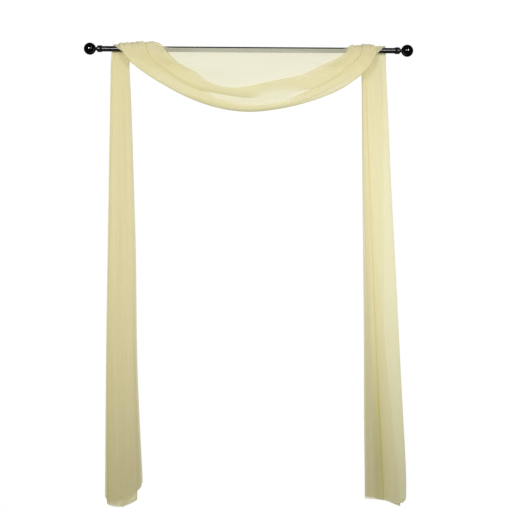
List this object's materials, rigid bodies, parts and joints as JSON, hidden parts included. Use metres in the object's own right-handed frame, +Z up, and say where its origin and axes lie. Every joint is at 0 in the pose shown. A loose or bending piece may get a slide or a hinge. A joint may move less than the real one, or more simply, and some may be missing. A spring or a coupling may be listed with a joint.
{
  "type": "sheer window scarf on a curtain pole",
  "caption": "Long sheer scarf draped over a round pole with ball finials, a swag in front and a gathered tail hanging behind the pole at each side.",
  "frame": {"origin": "on the pole's axis, halfway along the pole", "axes": "+X along the pole to the viewer's right, +Y away from the viewer towards the wall, +Z up"},
  "size_m": [1.4988, 0.1304, 2.135],
  "materials": {
    "voile": "sheer pale yellow polyester voile with a soft matt face",
    "black_pole": "gloss black paint",
    "black_finial": "high gloss black paint"
  },
  "bodies": {
    "root": {"scarf": "voile", "pole": "black_pole", "end_cap_left": "black_pole", "end_cap_right": "black_pole", "finial_left": "black_finial", "finial_right": "black_finial"}
  },
  "joints": []
}
